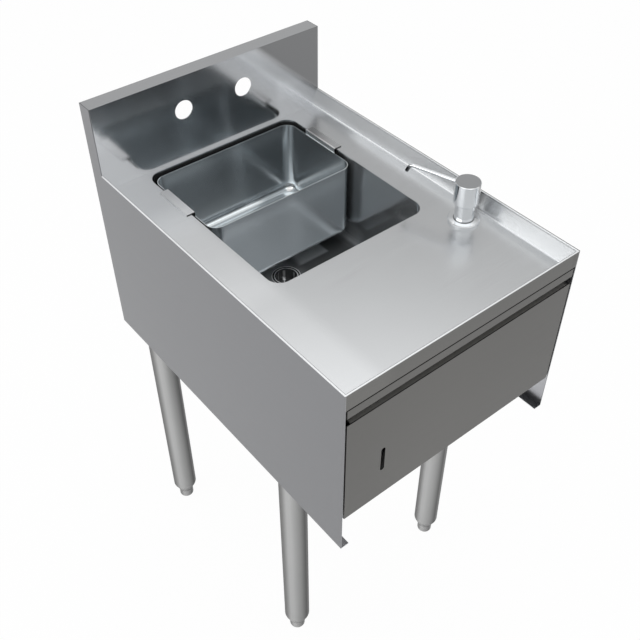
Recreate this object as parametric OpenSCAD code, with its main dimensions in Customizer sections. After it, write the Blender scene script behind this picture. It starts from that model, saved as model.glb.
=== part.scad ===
// Underbar hand and ice sink: a stainless body on four legs, a recessed deck with a
// deep bowl, a lift-out ice pan, a deck soap pump and a tilt-out front door.
// Origin: middle of the footprint on the floor. +X right, +Y towards the wall, +Z up.

/* [Body] */
// Width across the side panels
unit_w = 381; // [374:1:440]
// Front face to the face of the backsplash
deck_l = 516; // [504:1:600]
// Height of the deck rim above the floor
work_h = 749.3; // [700:0.1:860]
// Thickness of the body sheet
sheet = 1.2; // [0.8:0.1:1.6]
// Height of the side panels below the rim
side_h = 290.5; // [275:0.5:330]
// Width of the turned-in foot of a side panel
side_flange = 12.7; // [8:0.1:16]

/* [Deck] */
// Depth of the deck below the rim
rim_h = 25.4; // [18:0.1:30]
// Width of the flat top of the rim
rim_w = 2.4; // [2:0.1:5]
// How far the inner face of the rim leans in over its height
rim_lean = 8.4; // [3:0.1:12]
// Depth of the return under the fascia
fascia_return = 12; // [8:0.5:16]

/* [Backsplash] */
// Height of the backsplash above the rim
splash_h = 101.6; // [75:0.1:150]
// Depth of the backsplash
splash_t = 25.4; // [20:0.1:40]
// Height of its rear lip
splash_lip = 12.7; // [8:0.1:25]
// Distance between the two tap holes
tap_spacing = 101.6; // [80:0.1:203.2]
// Diameter of a tap hole
tap_d = 28.6; // [22:0.1:32]
// Height of the tap holes above the rim
tap_z = 51; // [35:0.5:60]
// Height of the apron behind the body
apron_h = 100; // [60:1:160]

/* [Bowl] */
// Inside width of the bowl
bowl_w = 254; // [240:0.5:262]
// Inside length of the bowl, front to back
bowl_l = 304.8; // [290:0.1:310]
// Depth of the bowl below the deck
bowl_depth = 152.6; // [145:0.1:170]
// Radius of the upright corners of the bowl
bowl_corner_r = 20; // [18:0.5:25]
// Radius between the walls and the floor of the bowl
bowl_floor_r = 14; // [6:0.5:17]
// Deck left between the bowl and the backsplash
bowl_back_gap = 5.4; // [4:0.1:12]
// Sideways offset of the bowl from the middle of the unit
bowl_shift = 1; // [-4:0.5:4]
// Width of the bowl's welding flange
bowl_flange = 4.8; // [3:0.1:8]

/* [Ice pan] */
// Gap between the pan and each side of the bowl, taken evenly
pan_side_gap = 4.75; // [3.5:0.25:15]
// Outside length of the pan, front to back
pan_l = 152; // [120:0.5:180]
// Height of the pan
pan_h = 120; // [80:0.5:124]
// Thickness of the pan's sheet
pan_sheet = 0.9; // [0.7:0.1:1.4]
// Radius of the upright corners of the pan
pan_corner_r = 18; // [15:0.5:25]
// Radius between the walls and the floor of the pan
pan_floor_r = 12.7; // [5:0.1:14]
// Drop of the pan's rim below the deck
pan_drop = 6; // [4:0.5:10]
// Gap between the pan and the back of the bowl
pan_back_gap = 4.6; // [3:0.1:20]
// Sideways offset of the pan from the middle of the bowl
pan_shift = 1.2; // [-2:0.1:2]
// Length of a pan hanger along the deck
hanger_l = 68; // [40:1:80]
// Width of a hanger's rest on the deck
hanger_rest = 8.2; // [4:0.1:12]
// Thickness of a hanger
hanger_t = 1.2; // [1:0.1:2]
// Overlap of a hanger with the pan's wall
hanger_lap = 16; // [10:0.5:30]

/* [Drain] */
// Diameter of the drain flange
drain_flange_d = 44.4; // [43:0.1:60]
// Thickness of the drain flange
drain_flange_t = 2.6; // [2:0.1:3.5]
// Outside diameter of the tailpiece
drain_d = 38.1; // [37.5:0.1:38.5]
// Bore of the drain body
drain_bore = 34; // [32:0.1:35]
// Length of the drain body below the bowl
drain_len = 50; // [42:1:70]
// Length of the tailpiece
tail_len = 100; // [60:1:150]
// Diameter of the rim of the crumb cup
cup_d = 39.4; // [38:0.1:40]
// Depth of the crumb cup
cup_depth = 20; // [12:0.5:30]
// Thickness of the crumb cup's sheet
cup_t = 0.8; // [0.6:0.1:1.2]
// Number of slots in the crumb cup's floor
cup_slots = 6; // [4:1:8]

/* [Front] */
// Gap round the door and the header strip
door_gap = 2.6; // [1.5:0.1:4]
// Gap between the deck's underside and the header strip
header_play = 0.3; // [0.3:0.1:1.5]
// Height of the header strip
header_h = 13.1; // [10:0.1:18]
// Height of the finger gap over the door
finger_gap = 12; // [8:0.5:16]
// Height of the door
door_h = 176.3; // [150:0.1:190]
// Depth of the door's top return
door_top_return = 20; // [14:0.5:22]
// Depth of the door's other returns
door_return = 12; // [10:0.5:16]
// Distance of the hinge axis behind the front face
hinge_y = 6.5; // [5.5:0.5:7]
// Height of the hinge axis above the door's lower edge
hinge_up = 8.3; // [7:0.1:10]
// Diameter of a hinge pin
hinge_pin_d = 6; // [4:0.5:6.5]
// Width of the slot in the door
slot_w = 6.4; // [4:0.1:10]
// Length of the slot in the door
slot_l = 42; // [25:0.5:60]
// Distance of the slot from the left side
slot_x = 62.7; // [40:0.1:100]
// Depth of the slot's middle below the rim
slot_z = 157; // [130:0.5:180]
// Gap between the compartment and the soap bottle
liner_gap = 19; // [5:0.5:40]

/* [Legs] */
// Diameter of a leg tube
leg_d = 41.3; // [38.1:0.1:45]
// Wall of a leg tube
leg_wall = 1.6; // [1.2:0.1:3]
// Distance of the leg axes from the sides
leg_side = 38.5; // [36:0.5:44]
// Distance of the front leg axes behind the compartment
leg_behind = 43.3; // [38:0.1:60]
// Distance of the rear leg axes from the back
leg_back = 39; // [38:0.5:60]
// Height of the leg tube's shoulder above the floor
shoulder_z = 36; // [32:0.5:45]
// Height of the leg tube's shoulder
shoulder_h = 15; // [8:0.5:18]
// Diameter of the foot
foot_d = 25.4; // [24:0.1:28]
// Rounding of the foot's lower edge
foot_round = 4; // [2:0.5:8]
// Diameter of the foot's screw
foot_screw_d = 16; // [12:0.1:18]
// Length of the foot's screw
foot_screw_l = 60; // [45:1:90]
// Depth of the leg rails below the rim
rail_z = 234; // [225:1:240]
// Height of a leg rail
rail_h = 22; // [15:0.5:30]
// Thickness of the rails and cross members
rail_t = 2; // [1.5:0.1:3]
// Depth of a leg socket
socket_h = 44; // [35:0.5:50]
// Wall of a leg socket
socket_wall = 3.5; // [2.5:0.1:4.2]
// Side of the socket's square plate
plate_w = 64; // [56:0.5:65]
// Diameter of a socket bolt
bolt_d = 5; // [4:0.5:6]

/* [Soap pump] */
// Distance of the pump's axis from the side of the bowl
pump_out = 21.5; // [20:0.5:24]
// Distance of the pump's axis in front of the bowl
pump_ahead = 48.8; // [40:0.1:50]
// Diameter of the pump's collar
collar_d = 43; // [40:0.5:50]
// Height of the collar
collar_h = 4; // [3:0.5:6]
// Diameter of the neck above the collar
neck_d = 26.5; // [26:0.1:30]
// Diameter of the cap
cap_d = 34.4; // [33:0.1:40]
// Height of the cap
cap_h = 33.5; // [30:0.5:40]
// Height of the cap's top above the deck
cap_top = 62; // [58:0.5:68]
// Downward travel of the pump
pump_travel = 14; // [8:0.5:15]
// Diameter of the spout tube
spout_d = 5; // [4:0.1:7]
// Reach of the spout's straight run from the axis
spout_reach = 78.5; // [60:0.5:90]
// Radius of the spout's bend
spout_bend = 10; // [8:0.5:12]
// Turn of the spout from straight back towards the left
spout_turn = 17.3; // [0:0.1:45]
// Diameter of the threaded shank
shank_d = 25.4; // [25:0.1:26]
// Diameter of the soap bottle
bottle_d = 60; // [50:1:64]
// Height of the soap bottle's body
bottle_h = 105; // [80:1:120]

/* [Hidden] */
$fn = 72;
eps = 0.02;
fit = 0.05;
slide_gap = 0.3;
unit_d = deck_l + splash_t;
deck_z = -rim_h;
under_deck = deck_z - sheet;
bowl_x = unit_w / 2 + bowl_shift;
bowl_back = deck_l - bowl_back_gap;
bowl_y = bowl_back - bowl_l / 2;
bowl_floor = deck_z - bowl_depth;
pump_x = bowl_x + bowl_w / 2 + pump_out;
pump_y = bowl_y - bowl_l / 2 - pump_ahead;
pan_w = bowl_w - 2 * pan_side_gap;
pan_x = bowl_x + pan_shift;
pan_y = bowl_back - pan_back_gap - pan_l / 2;
hanger_w = pan_side_gap + hanger_rest;
pan_rim = deck_z - pan_drop;
seat_step = 1.2;
dimple_d = drain_flange_d + 1.2;
drain_top = bowl_floor - 0.4;
drain_seat = drain_top - drain_flange_t;
drain_low = drain_seat - sheet - drain_len;
gasket_t = 3;
gasket_d = 54;
locknut_t = 8;
locknut_d = 58;
drain_thread_d = drain_d + 3.9;
tail_flange_d = drain_d + 3;
tail_flange_t = 2;
tail_hub_d = drain_d + 1;
tail_hub_h = 8;
nut_lip = 6;
slip_nut_h = 20;
slip_nut_d = 50;
header_top = under_deck - header_play;
header_low = header_top - header_h;
door_top = header_low - finger_gap;
door_low = door_top - door_h;
door_x0 = sheet + door_gap;
door_w = unit_w - 2 * door_x0;
hinge_z = door_low + hinge_up;
hinge_collar = 9;
header_web = 30;
header_inset = 6;
magnet_w = 9;
magnet_l = 12;
magnet_h = 30;
magnet_low = 28;
liner_d = pump_y - bottle_d / 2 - liner_gap;
liner_drop = 2.8;
liner_floor = hinge_z - liner_drop;
liner_front = door_return + 10;
liner_top = -60;
hat_y = 40;
hat_w = 40;
hat_h = 14;
hat_inset = 20;
leg_front = liner_d + leg_behind;
rail_front = liner_d + 4;
rail_back = unit_d - sheet - 4;
rail_x1 = 2 * leg_side - sheet;
cross_w = 25;
plate_t = 4;
plate_z = -rail_z - rail_t;
bolt_head_d = 8;
bolt_head_h = 3.5;
bolt_off = plate_w / 2 - 5.5;
setscrew_d = 6;
setscrew_up = 14;
leg_top = plate_z - plate_t - 2;
leg_low = -work_h + shoulder_z - shoulder_h;
shoulder_d = foot_d + 2;
nut_block_h = 12;
cap_z1 = deck_z + cap_top;
cap_z0 = cap_z1 - cap_h;
cap_ceiling = cap_z1 - 8.5;
cap_foot = 3;
neck_top = cap_z0 + 7;
neck_bore = neck_d - 4.5;
spring_z = under_deck - 4;
spring_od = neck_bore - 2;
spring_id = spring_od - 4;
shank_len = 44;
shank_low = under_deck - shank_len;
shank_bore = 14;
stem_d = 8;
bush_h = 15;
piston_d = 12;
cylinder_d = 16;
cylinder_h = 50;
stem_reach = 20;
stem_low = shank_low - stem_reach;
piston_h = 8;
spout_z = cap_z1 - 5.8;
spout_drop = 65;
spout_tip = 6;
spout_bore = spout_d - 1.6;
spout_root = 4;
elbow_swell = 0.2;
elbow_lap = 0.4;
washer_t = 1.5;
washer_d = 40;
nut_t = 8;
nut_d = 40;
bottle_grip = 25;
bottle_neck_z = shank_low + bottle_grip;
bottle_neck_d = shank_d + 6;
bottle_shoulder = 10;
bottle_wall = 1.5;
bottle_top = shank_low - 2;
bottle_low = bottle_top - bottle_shoulder - bottle_h;
dip_d = 6;
shank_hole_d = shank_d + 1.2;

// Places a child given from the left side, the front face and the top of the rim.
module place(x = 0, y = 0, z = 0) {
    translate([x - unit_w / 2, y - unit_d / 2, z + work_h]) children();
}

module box(x0, y0, z0, x1, y1, z1) {
    place(x0, y0, z0) cube([x1 - x0, y1 - y0, z1 - z0]);
}

module rod(x, y, z0, z1, d) {
    place(x, y, z0) cylinder(d = d, h = z1 - z0);
}

// A flat rectangle with round corners, made of squares and circles.
module round_rect(w, l, r) {
    square([w - 2 * r, l], center = true);
    square([w, l - 2 * r], center = true);
    for (sx = [-1, 1], sy = [-1, 1])
        translate([sx * (w / 2 - r), sy * (l / 2 - r)]) circle(r);
}

// The section of a drawn sheet: a floor strip, a radius and a wall, top at y = 0.
module sheet_section(run, h, outer_r, t) {
    translate([run - t, -h + outer_r]) square([t, h - outer_r]);
    translate([0, -h]) square([run - outer_r, t]);
    intersection() {
        translate([run - outer_r, -h + outer_r]) difference() {
            circle(outer_r);
            circle(outer_r - t);
        }
        translate([run - outer_r, -h]) square(outer_r);
    }
}

// A drawn basin of thin sheet, its top at z = 0: corners, walls and floor end to end.
module basin(w, l, h, corner_r, floor_r, t) {
    hx = w / 2 - corner_r;
    hy = l / 2 - corner_r;
    for (mx = [0, 1], my = [0, 1])
        mirror([mx, 0, 0]) mirror([0, my, 0]) translate([hx, hy, 0])
            rotate_extrude(angle = 90) sheet_section(corner_r, h, floor_r, t);
    for (mx = [0, 1])
        mirror([mx, 0, 0]) translate([hx, hy, 0]) rotate([90, 0, 0])
            linear_extrude(2 * hy) sheet_section(corner_r, h, floor_r, t);
    for (my = [0, 1])
        mirror([0, my, 0]) translate([-hx, hy, 0]) rotate([90, 0, 90])
            linear_extrude(2 * hx) sheet_section(corner_r, h, floor_r, t);
    translate([-hx, -hy, -h]) cube([2 * hx, 2 * hy, t]);
}

// The hollow of the deck tray: it leans out on three sides and runs to the backsplash.
module tray_block(grow, depth) {
    foot = rim_w + rim_lean - grow;
    head = rim_w - grow;
    side = [[foot, -depth], [unit_w - foot, -depth], [unit_w - head, 0], [head, 0]];
    front = [[foot, -depth], [deck_l, -depth], [deck_l, 0], [head, 0]];
    intersection() {
        translate([0, deck_l, 0]) rotate([90, 0, 0]) linear_extrude(deck_l) polygon(side);
        rotate([90, 0, 90]) linear_extrude(unit_w) polygon(front);
    }
}

module deck_top() {
    color("silver")
    difference() {
        union() {
            box(0, 0, -sheet, unit_w, deck_l, 0);
            intersection() {
                place(0, 0, -sheet) tray_block(sheet, rim_h);
                box(sheet, sheet, under_deck, unit_w - sheet, deck_l, -sheet);
            }
            box(sheet, 0, deck_z, unit_w - sheet, sheet, 0);
            box(sheet, 0, deck_z, unit_w - sheet, fascia_return, deck_z + sheet);
        }
        place(0, 0, eps) tray_block(0, rim_h + eps);
        place(bowl_x, bowl_y, under_deck - 1) linear_extrude(rim_h)
            round_rect(bowl_w, bowl_l, bowl_corner_r);
        rod(pump_x, pump_y, under_deck - 1, deck_z + 1, shank_hole_d);
    }
}

module sink_bowl() {
    flange_w = bowl_w + 2 * (sheet + bowl_flange);
    flange_l = bowl_l + 2 * (sheet + bowl_flange);
    color("slategray")
    difference() {
        union() {
            place(bowl_x, bowl_y, under_deck)
                basin(bowl_w + 2 * sheet, bowl_l + 2 * sheet, bowl_depth, bowl_corner_r + sheet,
                    bowl_floor_r + sheet, sheet);
            place(bowl_x, bowl_y, under_deck - sheet) linear_extrude(sheet) difference() {
                round_rect(flange_w, flange_l, bowl_corner_r + sheet + bowl_flange);
                round_rect(bowl_w + sheet, bowl_l + sheet, bowl_corner_r + sheet / 2);
            }
            rod(bowl_x, bowl_y, drain_seat - sheet, bowl_floor - sheet, dimple_d + 2 * sheet);
        }
        rod(bowl_x, bowl_y, drain_seat, bowl_floor + 1, dimple_d);
        rod(bowl_x, bowl_y, drain_seat - sheet - 1, drain_seat + 1, drain_thread_d + 2);
    }
}

module backsplash() {
    color("gray")
    difference() {
        union() {
            box(sheet, deck_l, deck_z - sheet, unit_w - sheet, deck_l + sheet, splash_h);
            box(sheet, deck_l, splash_h - sheet, unit_w - sheet, unit_d, splash_h);
            box(sheet, unit_d - sheet, splash_h - splash_lip, unit_w - sheet, unit_d, splash_h);
            box(sheet, deck_l, under_deck, unit_w - sheet, unit_d - sheet, deck_z);
        }
        for (side = [-1, 1])
            place(unit_w / 2 + side * tap_spacing / 2, deck_l + sheet + 1, tap_z)
                rotate([90, 0, 0]) cylinder(d = tap_d, h = sheet + 2);
    }
}

// A side panel closes the end of the backsplash and turns in at its foot.
module side_panel() {
    place(0, 0, 0) rotate([90, 0, 90]) linear_extrude(sheet)
        polygon([[0, -side_h], [unit_d, -side_h], [unit_d, splash_h], [deck_l, splash_h],
            [deck_l, -sheet], [0, -sheet]]);
    box(0, 0, -side_h, side_flange, unit_d, -side_h + sheet);
}

module left_side_panel() {
    color("darkgray") side_panel();
}

module right_side_panel() {
    color("darkgray") mirror([1, 0, 0]) side_panel();
}

module rear_apron() {
    color("gray")
    union() {
        box(sheet, unit_d - sheet, under_deck - apron_h, unit_w - sheet, unit_d, deck_z);
        box(sheet, unit_d - side_flange, under_deck - apron_h, unit_w - sheet, unit_d,
            under_deck - apron_h + sheet);
    }
}

// A hat channel under the front of the deck.
module deck_stiffener() {
    x1 = unit_w - hat_inset;
    foot = 8;
    color("dimgray")
    union() {
        for (y = [hat_y, hat_y + hat_w - foot])
            box(hat_inset, y, under_deck - sheet, x1, y + foot, under_deck);
        for (y = [hat_y + foot - sheet, hat_y + hat_w - foot])
            box(hat_inset, y, under_deck - hat_h, x1, y + sheet, under_deck);
        box(hat_inset, hat_y + foot - sheet, under_deck - hat_h, x1,
            hat_y + hat_w - foot + sheet, under_deck - hat_h + sheet);
    }
}

module header_strip() {
    color("gray")
    union() {
        box(door_x0, 0, header_low, door_x0 + door_w, sheet, header_top);
        box(door_x0, 0, header_top - sheet, door_x0 + door_w, header_inset + sheet, header_top);
        box(sheet, header_inset, header_top - sheet, unit_w - sheet, header_web, header_top);
        box(sheet, header_web - sheet, header_low, unit_w - sheet, header_web, header_top);
    }
}

module front_door() {
    x1 = door_x0 + door_w;
    notch = 6;
    slot_half = (slot_l - slot_w) / 2;
    color("gray")
    difference() {
        union() {
            box(door_x0, 0, door_low, x1, sheet, door_top);
            box(door_x0 + notch, 0, door_top - sheet, x1 - notch, door_top_return, door_top);
            box(door_x0, 0, door_low, x1, door_return, door_low + sheet);
            for (x = [door_x0, x1 - sheet])
                box(x, 0, door_low, x + sheet, door_return, door_top - 4);
        }
        for (up = [-1, 1])
            place(slot_x, sheet + 1, -slot_z + up * slot_half) rotate([90, 0, 0])
                cylinder(d = slot_w, h = sheet + 2);
        box(slot_x - slot_w / 2, -1, -slot_z - slot_half, slot_x + slot_w / 2, sheet + 1,
            -slot_z + slot_half);
        place(0, hinge_y, hinge_z) rotate([0, 90, 0])
            cylinder(d = hinge_pin_d + 2 * fit, h = unit_w);
    }
}

// A shoulder stud welded to the inside of each side panel.
module hinge_stud() {
    place(sheet, hinge_y, hinge_z) rotate([0, 90, 0]) {
        cylinder(d = hinge_collar, h = door_gap - slide_gap);
        cylinder(d = hinge_pin_d, h = door_gap + sheet + 4);
    }
}

module door_hinge_pins() {
    color("silver") {
        hinge_stud();
        mirror([1, 0, 0]) hinge_stud();
    }
}

// A magnet block on each side panel, just behind the door's side return.
module door_magnet() {
    y = door_return + slide_gap;
    z = door_top - magnet_low;
    box(sheet, y, z - magnet_h, sheet + magnet_w, y + magnet_l, z);
}

module door_magnets() {
    color("black") {
        door_magnet();
        mirror([1, 0, 0]) door_magnet();
    }
}

// The floor and the back of the compartment behind the door.
module compartment_liner() {
    color("dimgray")
    union() {
        box(sheet, liner_front, liner_floor - sheet, unit_w - sheet, liner_d, liner_floor);
        box(sheet, liner_d - sheet, liner_floor - sheet, unit_w - sheet, liner_d, liner_top);
        box(sheet, liner_d - sheet, liner_top - sheet, unit_w - sheet, liner_d + 10, liner_top);
    }
}

module rail_holes(y) {
    for (sx = [-1, 1], sy = [-1, 1])
        rod(leg_side + sx * bolt_off, y + sy * bolt_off, plate_z - 1, -rail_z + 1, bolt_d + 2 * fit);
}

module leg_rail() {
    difference() {
        union() {
            box(sheet, rail_front, plate_z, rail_x1, rail_back, -rail_z);
            for (x = [sheet, rail_x1 - rail_t])
                box(x, rail_front, -rail_z - rail_h, x + rail_t, rail_back, -rail_z);
        }
        rail_holes(leg_front);
        rail_holes(unit_d - leg_back);
    }
}

module left_leg_rail() {
    color("dimgray") leg_rail();
}

module right_leg_rail() {
    color("dimgray") mirror([1, 0, 0]) leg_rail();
}

module cross_member(y) {
    x1 = unit_w - rail_x1;
    union() {
        box(rail_x1, y, plate_z, x1, y + cross_w, -rail_z);
        for (side = [0, cross_w - rail_t])
            box(rail_x1, y + side, -rail_z - rail_h, x1, y + side + rail_t, -rail_z);
    }
}

module front_cross_member() {
    color("dimgray") cross_member(rail_front);
}

module rear_cross_member() {
    color("dimgray") cross_member(rail_back - cross_w);
}

// A cup for the leg tube under a square plate with four bolt holes.
module leg_socket(x, y) {
    cup_d = leg_d + 2 * socket_wall;
    difference() {
        union() {
            box(x - plate_w / 2, y - plate_w / 2, plate_z - plate_t, x + plate_w / 2,
                y + plate_w / 2, plate_z);
            rod(x, y, plate_z - socket_h, plate_z, cup_d);
        }
        rod(x, y, plate_z - socket_h - 1, leg_top + fit, leg_d + 2 * fit);
        for (sx = [-1, 1], sy = [-1, 1])
            rod(x + sx * bolt_off, y + sy * bolt_off, plate_z - socket_h, plate_z + 1,
                bolt_d + 2 * fit);
        place(x, y, plate_z - socket_h + setscrew_up) rotate([0, 90, 0])
            cylinder(d = setscrew_d + 2 * fit, h = cup_d);
    }
}

module front_left_socket() {
    color("lightgray") leg_socket(leg_side, leg_front);
}

module front_right_socket() {
    color("lightgray") mirror([1, 0, 0]) leg_socket(leg_side, leg_front);
}

module rear_left_socket() {
    color("lightgray") leg_socket(leg_side, unit_d - leg_back);
}

module rear_right_socket() {
    color("lightgray") mirror([1, 0, 0]) leg_socket(leg_side, unit_d - leg_back);
}

// One bolt: a hexagon head under the plate, a shank and a hexagon nut on the rail.
module socket_bolt(x, y) {
    low = plate_z - plate_t;
    rod(x, y, low, -rail_z + bolt_head_h + 1.5, bolt_d);
    place(x, y, low - bolt_head_h) cylinder(d = bolt_head_d, h = bolt_head_h, $fn = 6);
    place(x, y, -rail_z) cylinder(d = bolt_head_d, h = bolt_head_h, $fn = 6);
}

module socket_bolts() {
    color("silver")
    for (side = [0, 1]) mirror([side, 0, 0])
        for (y = [leg_front, unit_d - leg_back], sx = [-1, 1], sy = [-1, 1])
            socket_bolt(leg_side + sx * bolt_off, y + sy * bolt_off);
}

module socket_set_screws() {
    color("black")
    for (side = [0, 1]) mirror([side, 0, 0])
        for (y = [leg_front, unit_d - leg_back])
            place(leg_side + leg_d / 2 + fit, y, plate_z - socket_h + setscrew_up) rotate([0, 90, 0])
                cylinder(d = setscrew_d, h = socket_wall);
}

// A leg: a tube drawn in to a cone that holds a threaded nut block for the foot.
module leg(x, y) {
    bore = foot_screw_d / 2 + fit;
    inner = leg_d / 2 - leg_wall;
    top = leg_low + shoulder_h;
    place(x, y, 0) rotate_extrude() polygon([
        [inner, leg_top], [leg_d / 2, leg_top], [leg_d / 2, top + 2], [leg_d / 2 - 0.5, top],
        [shoulder_d / 2, leg_low], [bore, leg_low], [bore, top + nut_block_h],
        [inner, top + nut_block_h]]);
}

module front_left_leg() {
    color("lightsteelblue") leg(leg_side, leg_front);
}

module front_right_leg() {
    color("lightsteelblue") mirror([1, 0, 0]) leg(leg_side, leg_front);
}

module rear_left_leg() {
    color("lightsteelblue") leg(leg_side, unit_d - leg_back);
}

module rear_right_leg() {
    color("lightsteelblue") mirror([1, 0, 0]) leg(leg_side, unit_d - leg_back);
}

// A round foot on a screw; it is turned to level the unit.
module foot(x, y) {
    top = leg_low - slide_gap;
    place(x, y, 0) {
        rotate_extrude() union() {
            translate([0, -work_h]) square([foot_d / 2 - foot_round, foot_round]);
            translate([0, -work_h + foot_round]) square([foot_d / 2, top + work_h - foot_round]);
            translate([foot_d / 2 - foot_round, -work_h + foot_round]) circle(foot_round);
        }
        translate([0, 0, top]) cylinder(d = foot_screw_d, h = foot_screw_l);
    }
}

module front_left_foot() {
    color("silver") foot(leg_side, leg_front);
}

module front_right_foot() {
    color("silver") mirror([1, 0, 0]) foot(leg_side, leg_front);
}

module rear_left_foot() {
    color("silver") foot(leg_side, unit_d - leg_back);
}

module rear_right_foot() {
    color("silver") mirror([1, 0, 0]) foot(leg_side, unit_d - leg_back);
}

module ice_pan() {
    color("lightslategray")
    place(pan_x, pan_y, pan_rim)
        basin(pan_w, pan_l, pan_h, pan_corner_r, pan_floor_r, pan_sheet);
}

// A bent strip: it laps the pan's wall, rises past the rim and lies on the deck.
module pan_hanger() {
    wall = pan_x - pan_w / 2;
    box(wall - hanger_t, pan_y - hanger_l / 2, pan_rim - hanger_lap, wall, pan_y + hanger_l / 2,
        deck_z + hanger_t);
    box(wall - hanger_w, pan_y - hanger_l / 2, deck_z, wall, pan_y + hanger_l / 2,
        deck_z + hanger_t);
}

module pan_hanger_left() {
    color("silver") pan_hanger();
}

module pan_hanger_right() {
    color("silver") translate([2 * (bowl_shift + pan_shift), 0, 0]) mirror([1, 0, 0]) pan_hanger();
}

// The drain body: a flange in the bowl's dimple, a seat for the cup and a long thread.
module drain_body() {
    color("silver")
    difference() {
        union() {
            rod(bowl_x, bowl_y, drain_seat, drain_top, drain_flange_d);
            rod(bowl_x, bowl_y, drain_low, drain_top, drain_thread_d);
        }
        rod(bowl_x, bowl_y, drain_low - 1, drain_top + 1, drain_bore);
        rod(bowl_x, bowl_y, drain_top - seat_step, drain_top + 1, cup_d + 0.4);
    }
}

module ring(x, y, z0, z1, od, id) {
    difference() {
        rod(x, y, z0, z1, od);
        rod(x, y, z0 - 1, z1 + 1, id);
    }
}

module hex_ring(x, y, z0, z1, od, id) {
    difference() {
        place(x, y, z0) cylinder(d = od, h = z1 - z0, $fn = 6);
        rod(x, y, z0 - 1, z1 + 1, id);
    }
}

module drain_gasket() {
    color("black")
    ring(bowl_x, bowl_y, drain_seat - sheet - gasket_t, drain_seat - sheet, gasket_d,
        drain_thread_d + 2 * fit);
}

module drain_locknut() {
    top = drain_seat - sheet - gasket_t;
    color("goldenrod")
    hex_ring(bowl_x, bowl_y, top - locknut_t, top, locknut_d, drain_thread_d + 2 * fit);
}

// The tailpiece hangs under the drain body on its flange, held up by the slip nut.
module drain_tailpiece() {
    color("silver")
    union() {
        ring(bowl_x, bowl_y, drain_low - tail_len, drain_low, drain_d, drain_bore);
        ring(bowl_x, bowl_y, drain_low - tail_hub_h, drain_low, tail_hub_d, drain_bore);
        ring(bowl_x, bowl_y, drain_low - tail_flange_t, drain_low, tail_flange_d, drain_bore);
    }
}

module slip_nut() {
    low = drain_low - nut_lip;
    color("silver")
    difference() {
        rod(bowl_x, bowl_y, low, low + slip_nut_h, slip_nut_d);
        rod(bowl_x, bowl_y, low - 1, drain_low, tail_hub_d + 2 * fit);
        rod(bowl_x, bowl_y, drain_low - tail_flange_t, drain_low, tail_flange_d + 2 * fit);
        rod(bowl_x, bowl_y, drain_low, low + slip_nut_h + 1, drain_thread_d + 2 * fit);
    }
}

module crumb_cup() {
    body_d = drain_bore - 1;
    top = drain_top;
    rim_low = drain_top - seat_step + fit;
    color("silver")
    difference() {
        union() {
            rod(bowl_x, bowl_y, rim_low, top, cup_d);
            rod(bowl_x, bowl_y, top - cup_depth, top, body_d);
        }
        rod(bowl_x, bowl_y, top - cup_depth + cup_t, top + 1, body_d - 2 * cup_t);
        for (turn = [0 : 360 / cup_slots : 359])
            place(bowl_x, bowl_y, top - cup_depth - 1) rotate([0, 0, turn])
                translate([4, -1.25, 0]) cube([8, 2.5, 3]);
    }
}

// Collar, neck and threaded shank in one turned piece.
module pump_body() {
    edge = 1.2;
    color("gainsboro")
    difference() {
        union() {
            rod(pump_x, pump_y, deck_z, deck_z + collar_h - edge, collar_d);
            place(pump_x, pump_y, deck_z + collar_h - edge)
                cylinder(d1 = collar_d, d2 = collar_d - 2 * edge, h = edge);
            rod(pump_x, pump_y, deck_z, neck_top, neck_d);
            rod(pump_x, pump_y, shank_low, deck_z, shank_d);
        }
        rod(pump_x, pump_y, spring_z, neck_top + 1, neck_bore);
        rod(pump_x, pump_y, shank_low - 1, neck_top, shank_bore);
    }
}

module pump_cap() {
    edge = 0.8;
    color("white")
    difference() {
        union() {
            place(pump_x, pump_y, cap_z0)
                cylinder(d1 = neck_d + 3, d2 = cap_d, h = cap_foot);
            rod(pump_x, pump_y, cap_z0 + cap_foot, cap_z1 - edge, cap_d);
            place(pump_x, pump_y, cap_z1 - edge)
                cylinder(d1 = cap_d, d2 = cap_d - 2 * edge, h = edge);
        }
        rod(pump_x, pump_y, cap_z0 - 1, cap_ceiling, neck_d + 2 * fit);
        rod(pump_x, pump_y, cap_ceiling - 1, cap_ceiling + 4, stem_d + 2 * fit);
        place(pump_x, pump_y, spout_z) rotate([-90, 0, spout_turn])
            cylinder(d = spout_d, h = cap_d);
    }
}

// The spout: a straight run, a slightly swaged bend downwards and a short bored tip.
module spout_end() {
    translate([0, spout_reach, -spout_bend]) rotate([-spout_drop, 0, 0])
        translate([0, 0, spout_bend]) rotate([-90, 0, 0]) children();
}

module pump_spout() {
    root = cap_d / 2 - spout_root;
    color("white")
    place(pump_x, pump_y, spout_z) rotate([0, 0, spout_turn]) difference() {
        union() {
            rotate([-90, 0, 0]) translate([0, 0, root])
                cylinder(d = spout_d, h = spout_reach - root + elbow_lap);
            translate([0, spout_reach, -spout_bend]) rotate([90, 0, 90])
                rotate([0, 0, 90 - spout_drop]) rotate_extrude(angle = spout_drop)
                    translate([spout_bend, 0]) circle(d = spout_d + elbow_swell);
            spout_end() translate([0, 0, -elbow_lap])
                cylinder(d = spout_d, h = spout_tip + elbow_lap);
        }
        spout_end() translate([0, 0, 1]) cylinder(d = spout_bore, h = spout_tip);
    }
}

module pump_stem() {
    color("gainsboro")
    union() {
        rod(pump_x, pump_y, stem_low, cap_ceiling + 4 - fit, stem_d);
        rod(pump_x, pump_y, stem_low - piston_h, stem_low, piston_d - 2 * fit);
    }
}

module pump_spring() {
    color("silver")
    ring(pump_x, pump_y, spring_z + fit, cap_ceiling - fit, spring_od, spring_id);
}

module pump_bush() {
    color("white")
    ring(pump_x, pump_y, spring_z - bush_h, spring_z - 1, shank_bore, stem_d + 2 * fit);
}

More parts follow.
